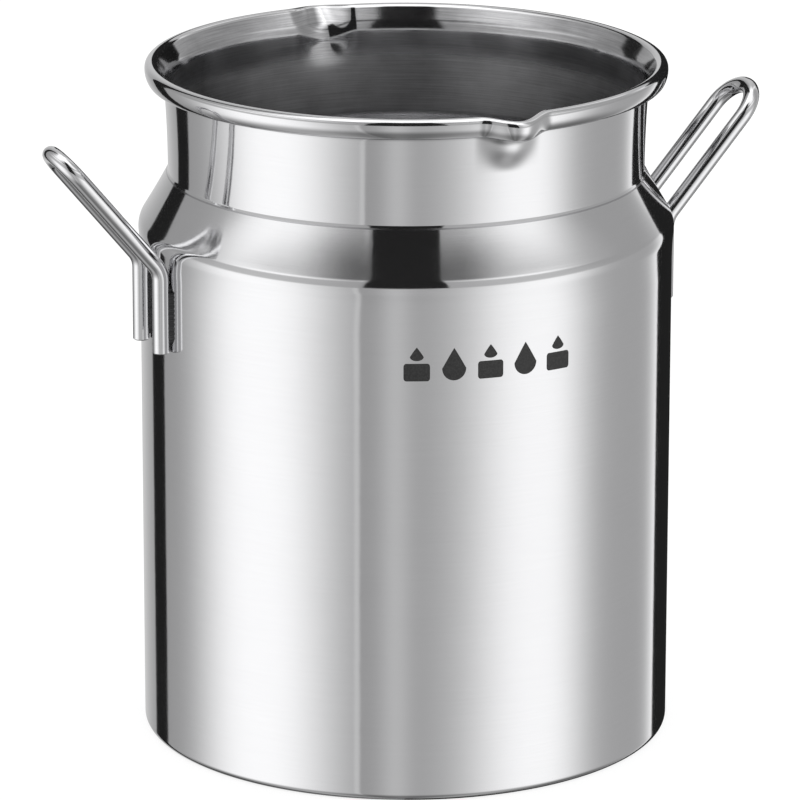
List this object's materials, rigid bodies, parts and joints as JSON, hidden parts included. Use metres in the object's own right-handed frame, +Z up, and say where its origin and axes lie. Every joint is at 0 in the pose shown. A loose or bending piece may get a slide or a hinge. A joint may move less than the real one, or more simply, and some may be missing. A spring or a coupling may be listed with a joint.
{
  "type": "candle melting pot",
  "caption": "Upright steel pot for melting wax in a water bath, with a narrower neck, a rolled rim with pouring lips, and bent wire loops welded to the wall as handles.",
  "frame": {"origin": "The middle of the flat base, on the pot's axis, so the pot stands on Z = 0.", "axes": "+Z is up along the pot's axis. The wire loops stand at +X and -X, and the pouring lips at +Y and -Y. Front is -Y."},
  "size_m": [0.1498, 0.1084, 0.1342],
  "materials": {
    "polished_steel": "polished",
    "satin_steel": "satin",
    "wire_steel": "polished",
    "weld_steel": "satin",
    "black_ink": "matte"
  },
  "bodies": {
    "root": {"body_shell": "polished_steel", "neck_collar": "polished_steel", "neck_seam_weld": "weld_steel", "handle_left": "wire_steel", "handle_right": "wire_steel", "handle_left_front_weld": "weld_steel", "handle_left_rear_weld": "weld_steel", "handle_right_front_weld": "weld_steel", "handle_right_rear_weld": "weld_steel"}
  },
  "joints": []
}
